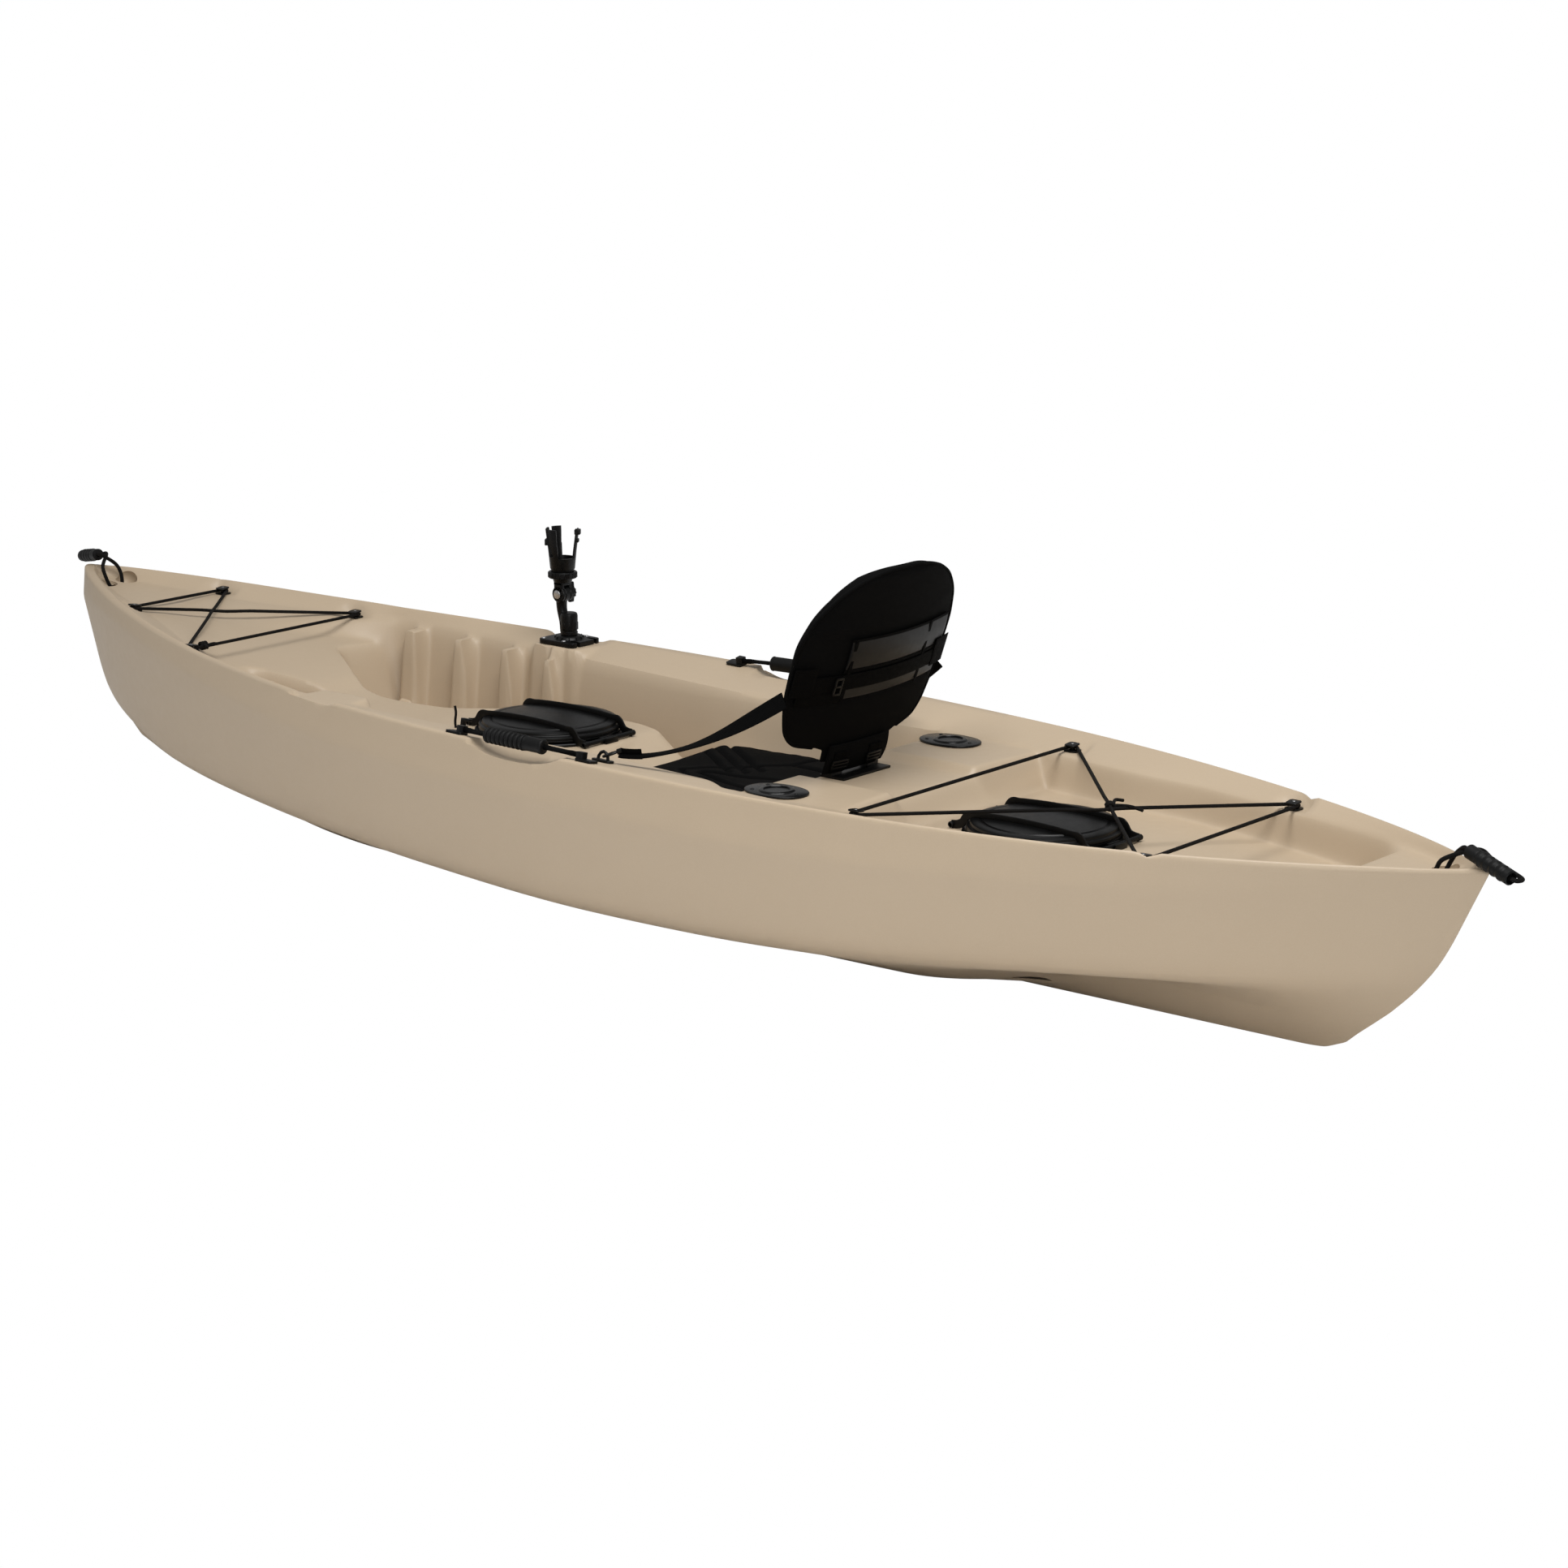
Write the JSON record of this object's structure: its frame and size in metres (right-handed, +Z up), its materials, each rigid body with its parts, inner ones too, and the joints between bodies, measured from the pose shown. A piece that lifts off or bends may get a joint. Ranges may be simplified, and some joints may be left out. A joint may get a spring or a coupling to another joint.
{
  "type": "sit-on-top fishing kayak",
  "caption": "Sit-on-top fishing kayak with hatches, folding backrest, rod holders, carry handles, end toggles and shock-cord lacing.",
  "frame": {"origin": "on the keel's flat bottom, amidships on the centre line", "axes": "+X to the stern, +Y to starboard, +Z up"},
  "size_m": [3.199, 0.7846, 0.6483],
  "materials": {
    "hull": "sand rotomoulded polyethylene with a fine grain",
    "black_plastic": "black moulded plastic",
    "gloss_plastic": "black glossy moulded plastic",
    "fabric": "black woven seat fabric over foam",
    "webbing": "black woven webbing",
    "rubber": "black moulded rubber",
    "cord": "dark braided shock cord and rope",
    "steel": "stainless steel"
  },
  "bodies": {
    "hull": {"hull": "hull", "front_hatch_rim": "black_plastic", "rear_hatch_rim": "black_plastic", "seat_cushion": "fabric", "backrest_hinge_base": "black_plastic", "backrest_hinge_pin": "steel", "rod_holder_base": "black_plastic", "bow_bungee": "cord", "stern_bungee": "cord", "rear_pad_eye": "black_plastic", "paddle_hook": "black_plastic", "port_strap_eye": "black_plastic", "port_strap_hook": "black_plastic", "port_side_strap": "webbing", "port_rod_tube": "gloss_plastic", "port_handle_front_socket": "black_plastic", "port_handle_rear_socket": "black_plastic", "port_bow_front_clip": "black_plastic", "port_bow_rear_clip": "black_plastic", "port_stern_front_clip": "black_plastic", "port_stern_rear_clip": "black_plastic", "starboard_strap_eye": "black_plastic", "starboard_strap_hook": "black_plastic", "starboard_side_strap": "webbing", "starboard_rod_tube": "gloss_plastic", "starboard_handle_front_socket": "black_plastic", "starboard_handle_rear_socket": "black_plastic", "starboard_bow_front_clip": "black_plastic", "starboard_bow_rear_clip": "black_plastic", "starboard_stern_front_clip": "black_plastic", "starboard_stern_rear_clip": "black_plastic"},
    "front_lid": {"front_hatch_lid": "black_plastic", "front_hatch_seal": "rubber", "front_hatch_strap_loop": "rubber"},
    "rear_lid": {"rear_hatch_lid": "black_plastic", "rear_hatch_seal": "rubber", "rear_hatch_strap_loop": "rubber"},
    "backrest": {"backrest_shell": "fabric", "backrest_pad": "fabric", "backrest_lumbar_band": "webbing"},
    "rod_post": {"rod_holder_post": "black_plastic"},
    "rod_cradle": {"rod_holder_cradle": "black_plastic", "rod_holder_bolt": "steel"},
    "rod_lock_ring": {"rod_holder_lock_ring": "black_plastic"},
    "rod_knob": {"rod_holder_knob": "black_plastic"},
    "port_handle": {"port_handle_strap": "webbing", "port_handle_grip": "rubber"},
    "starboard_handle": {"starboard_handle_strap": "webbing", "starboard_handle_grip": "rubber"},
    "bow_toggle": {"bow_toggle_rope": "cord", "bow_toggle_grip": "rubber"},
    "stern_toggle": {"stern_toggle_rope": "cord", "stern_toggle_grip": "rubber"}
  },
  "joints": [
    {"name": "front_lid_hinge", "type": "hinge", "parent": "hull", "child": "front_lid", "pos_m": [-0.458, 0, 0.2615], "axis": [0, -1, 0], "range_deg": [0, 105]},
    {"name": "rear_lid_hinge", "type": "hinge", "parent": "hull", "child": "rear_lid", "pos_m": [0.602, 0, 0.2515], "axis": [0, -1, 0], "range_deg": [0, 75], "deforming": ["stern_bungee"]},
    {"name": "backrest_fold", "type": "hinge", "parent": "hull", "child": "backrest", "pos_m": [0.35, 0, 0.303], "axis": [0, -1, 0], "range_deg": [0, 98], "deforming": ["port_side_strap", "starboard_side_strap"]},
    {"name": "rod_post_swivel", "type": "hinge", "parent": "hull", "child": "rod_post", "pos_m": [-0.552, 0.306, 0.36], "axis": [0, 0, 1], "continuous": true},
    {"name": "rod_cradle_tilt", "type": "hinge", "parent": "rod_post", "child": "rod_cradle", "pos_m": [-0.567, 0.306, 0.424], "axis": [0, 1, 0], "range_deg": [-60, 60]},
    {"name": "rod_lock_ring_turn", "type": "hinge", "parent": "rod_cradle", "child": "rod_lock_ring", "pos_m": [-0.567, 0.306, 0.46], "axis": [0, 0, 1], "continuous": true},
    {"name": "rod_knob_turn", "type": "hinge", "parent": "rod_cradle", "child": "rod_knob", "pos_m": [-0.567, 0.306, 0.424], "axis": [0, 1, 0], "continuous": true},
    {"name": "port_handle_swing", "type": "hinge", "parent": "hull", "child": "port_handle", "pos_m": [-0.18829, -0.36022, 0.3414], "axis": [0.9999, -0.0006, -0.0125], "range_deg": [-35, 33]},
    {"name": "starboard_handle_swing", "type": "hinge", "parent": "hull", "child": "starboard_handle", "pos_m": [-0.18832, 0.36028, 0.34159], "axis": [-0.9999, -0.0005, 0.013], "range_deg": [-35, 33]},
    {"name": "bow_toggle_lift", "type": "hinge", "parent": "hull", "child": "bow_toggle", "pos_m": [-1.452, 0, 0.3773], "axis": [0, 1, 0], "range_deg": [0, 110], "deforming": ["bow_toggle_rope"]},
    {"name": "stern_toggle_lift", "type": "hinge", "parent": "hull", "child": "stern_toggle", "pos_m": [1.44, 0, 0.3073], "axis": [0, -1, 0], "range_deg": [0, 110], "deforming": ["stern_toggle_rope"]}
  ]
}
